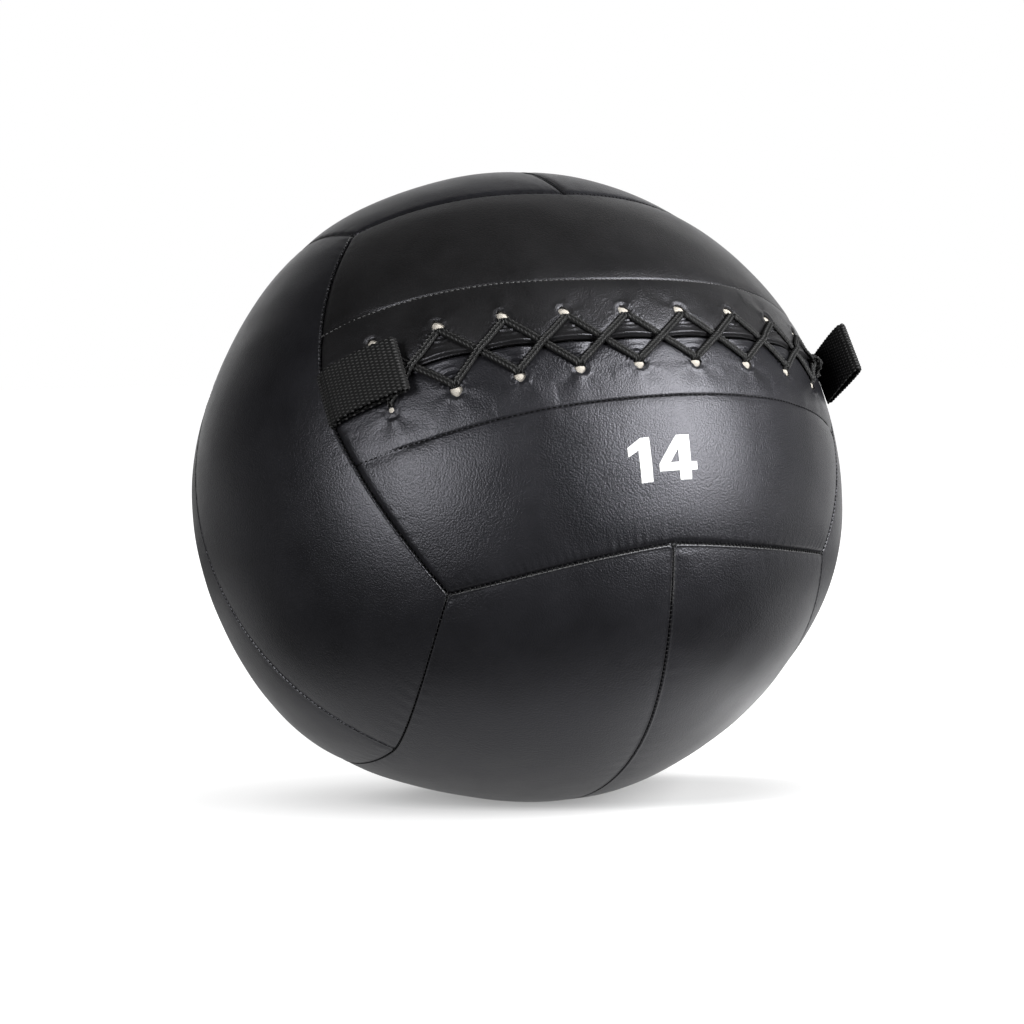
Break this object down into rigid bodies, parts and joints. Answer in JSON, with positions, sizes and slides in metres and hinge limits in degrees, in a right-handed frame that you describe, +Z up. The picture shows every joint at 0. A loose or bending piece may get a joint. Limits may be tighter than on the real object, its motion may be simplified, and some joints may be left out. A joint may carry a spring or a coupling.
{
  "type": "wall ball",
  "caption": "Soft weighted wall ball with a sewn panel cover, a laced slit and a webbing loop at each end of the slit.",
  "frame": {"origin": "middle of the ball's extent, on the floor", "axes": "+Z up, +X to the right end of the slit, -Y the way the lace face looks, tilted back by 35 degrees"},
  "size_m": [0.353, 0.3554, 0.3389],
  "materials": {
    "black_coated_cover": "semi-gloss coated cloth with a fine pebbled grain",
    "black_webbing": "matte ribbed webbing",
    "black_lace": "matte flat braid",
    "cream_strip": "matte cotton",
    "grey_foam": "matte open-cell foam",
    "bag_canvas": "matte canvas",
    "shredded_stuffing": "matte shredded cloth",
    "weight_sand": "dry loose sand"
  },
  "bodies": {
    "shell": {"bottom_left": "black_coated_cover", "bottom_left_foam": "grey_foam", "bottom_right": "black_coated_cover", "bottom_right_foam": "grey_foam", "front_lower": "black_coated_cover", "front_lower_foam": "grey_foam", "front_upper": "black_coated_cover", "front_upper_foam": "grey_foam", "lace": "black_lace", "left_bag": "bag_canvas", "left_front": "black_coated_cover", "left_front_foam": "grey_foam", "left_loop_tail": "black_webbing", "left_pouch": "bag_canvas", "left_rear": "black_coated_cover", "left_rear_foam": "grey_foam", "left_stuffing": "shredded_stuffing", "lower_eyelet_strip": "cream_strip", "rear_lower": "black_coated_cover", "rear_lower_foam": "grey_foam", "rear_upper": "black_coated_cover", "rear_upper_foam": "grey_foam", "right_bag": "bag_canvas", "right_front": "black_coated_cover", "right_front_foam": "grey_foam", "right_loop_tail": "black_webbing", "right_pouch": "bag_canvas", "right_rear": "black_coated_cover", "right_rear_foam": "grey_foam", "right_stuffing": "shredded_stuffing", "sand": "weight_sand", "tongue": "black_coated_cover", "top_left": "black_coated_cover", "top_left_foam": "grey_foam", "top_right": "black_coated_cover", "top_right_foam": "grey_foam", "upper_eyelet_strip": "cream_strip"},
    "left_loop": {"left_loop": "black_webbing"},
    "right_loop": {"right_loop": "black_webbing"}
  },
  "joints": [
    {"name": "left_loop_swing", "type": "hinge", "parent": "shell", "child": "left_loop", "pos_m": [-0.14321, -0.09148, 0.22485], "axis": [-0.0214, 0.5863, 0.8098], "range_deg": [-160, 0]},
    {"name": "right_loop_swing", "type": "hinge", "parent": "shell", "child": "right_loop", "pos_m": [0.14289, -0.09013, 0.22582], "axis": [0.0038, 0.5638, 0.8259], "range_deg": [-4, 140]}
  ]
}
